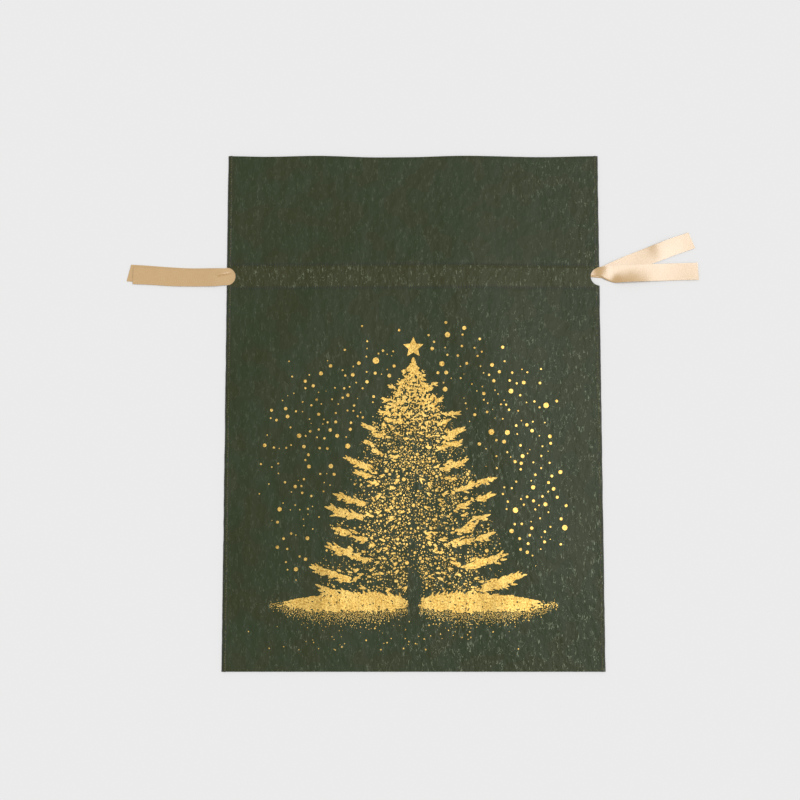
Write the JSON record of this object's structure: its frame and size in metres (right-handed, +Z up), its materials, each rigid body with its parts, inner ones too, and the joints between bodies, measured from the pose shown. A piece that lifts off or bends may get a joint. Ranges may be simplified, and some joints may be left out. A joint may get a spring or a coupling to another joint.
{
  "type": "drawstring gift sack",
  "caption": "Flat drawstring gift sack of thin non-woven fabric, with ribbons through a welded channel under its open mouth and a foil winter-tree print.",
  "frame": {"origin": "middle of the sack's outline, on the surface that the sack lies on", "axes": "+X across the sack to the right as its printed front is read, along the ribbons; +Y from the bottom fold towards the mouth; +Z up from the back panel to the front panel"},
  "size_m": [0.402, 0.357, 0.0088],
  "materials": {
    "green_nonwoven": "matt non-woven fabric with a fine crinkle and a faint sheen",
    "welded_nonwoven": "the same fabric melted together under rows of fine weld marks",
    "gold_satin": "glossy satin ribbon"
  },
  "bodies": {
    "back": {"back_panel": "green_nonwoven", "back_facing": "green_nonwoven", "back_upper_weld_row": "welded_nonwoven", "back_lower_weld_row": "welded_nonwoven", "bottom_fold": "green_nonwoven", "left_upper_side_seam": "welded_nonwoven", "left_lower_side_seam": "welded_nonwoven", "right_upper_side_seam": "welded_nonwoven", "right_lower_side_seam": "welded_nonwoven"},
    "front": {"front_panel": "green_nonwoven", "front_facing": "green_nonwoven", "front_upper_weld_row": "welded_nonwoven", "front_lower_weld_row": "welded_nonwoven"},
    "front_drawstring": {"front_ribbon": "gold_satin"},
    "back_drawstring": {"back_ribbon": "gold_satin"}
  },
  "joints": [
    {"name": "mouth_open", "type": "hinge", "parent": "back", "child": "front", "pos_m": [0, -0.17708, 0.00143], "axis": [1, 0, 0], "range_deg": [0, 9]},
    {"name": "front_ribbon_pull", "type": "slide", "parent": "back", "child": "front_drawstring", "axis": [1, 0, 0], "range_m": [-0.035, 0.035], "deforming": ["front_ribbon"]},
    {"name": "back_ribbon_pull", "type": "slide", "parent": "back", "child": "back_drawstring", "axis": [1, 0, 0], "range_m": [-0.035, 0.035]}
  ]
}
